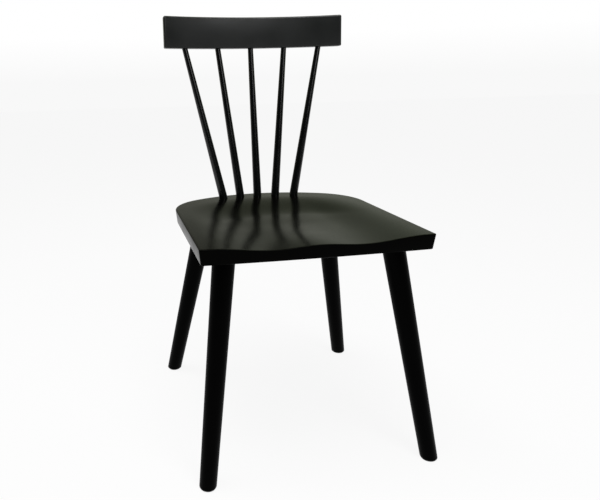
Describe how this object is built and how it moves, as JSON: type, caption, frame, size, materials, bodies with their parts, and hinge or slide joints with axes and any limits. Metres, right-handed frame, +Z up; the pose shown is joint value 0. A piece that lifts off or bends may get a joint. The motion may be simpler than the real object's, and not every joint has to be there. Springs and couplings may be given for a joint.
{
  "type": "windsor chair",
  "caption": "Spindle-back dining chair in black lacquered wood with a carved plank seat, splayed tapered legs and a bent crest rail.",
  "frame": {"origin": "on the floor under the middle of the chair's bounding box", "axes": "+Z up, the front of the chair looks towards -Y, +X to the right as seen from the front"},
  "size_m": [0.4868, 0.5616, 0.8906],
  "materials": {
    "black_lacquered_wood": "satin",
    "bare_hardwood": "matte",
    "nylon": "matte",
    "zinc_plated_steel": "satin"
  },
  "bodies": {
    "root": {"seat_board_1": "black_lacquered_wood", "seat_board_2": "black_lacquered_wood", "seat_board_3": "black_lacquered_wood", "seat_board_4": "black_lacquered_wood", "seat_board_5": "black_lacquered_wood", "leg_front_left": "black_lacquered_wood", "leg_front_right": "black_lacquered_wood", "leg_back_left": "black_lacquered_wood", "leg_back_right": "black_lacquered_wood", "spindle_1": "black_lacquered_wood", "spindle_2": "black_lacquered_wood", "spindle_3": "black_lacquered_wood", "spindle_4": "black_lacquered_wood", "spindle_5": "black_lacquered_wood", "crest_rail": "black_lacquered_wood", "rail_pin_1": "black_lacquered_wood", "rail_pin_3": "black_lacquered_wood", "rail_pin_5": "black_lacquered_wood", "leg_wedge_front_left": "bare_hardwood", "leg_wedge_front_right": "bare_hardwood", "leg_wedge_back_left": "bare_hardwood", "leg_wedge_back_right": "bare_hardwood", "glide_front_left": "nylon", "glide_front_right": "nylon", "glide_back_left": "nylon", "glide_back_right": "nylon", "glide_nail_front_left": "zinc_plated_steel", "glide_nail_front_right": "zinc_plated_steel", "glide_nail_back_left": "zinc_plated_steel", "glide_nail_back_right": "zinc_plated_steel"}
  },
  "joints": []
}
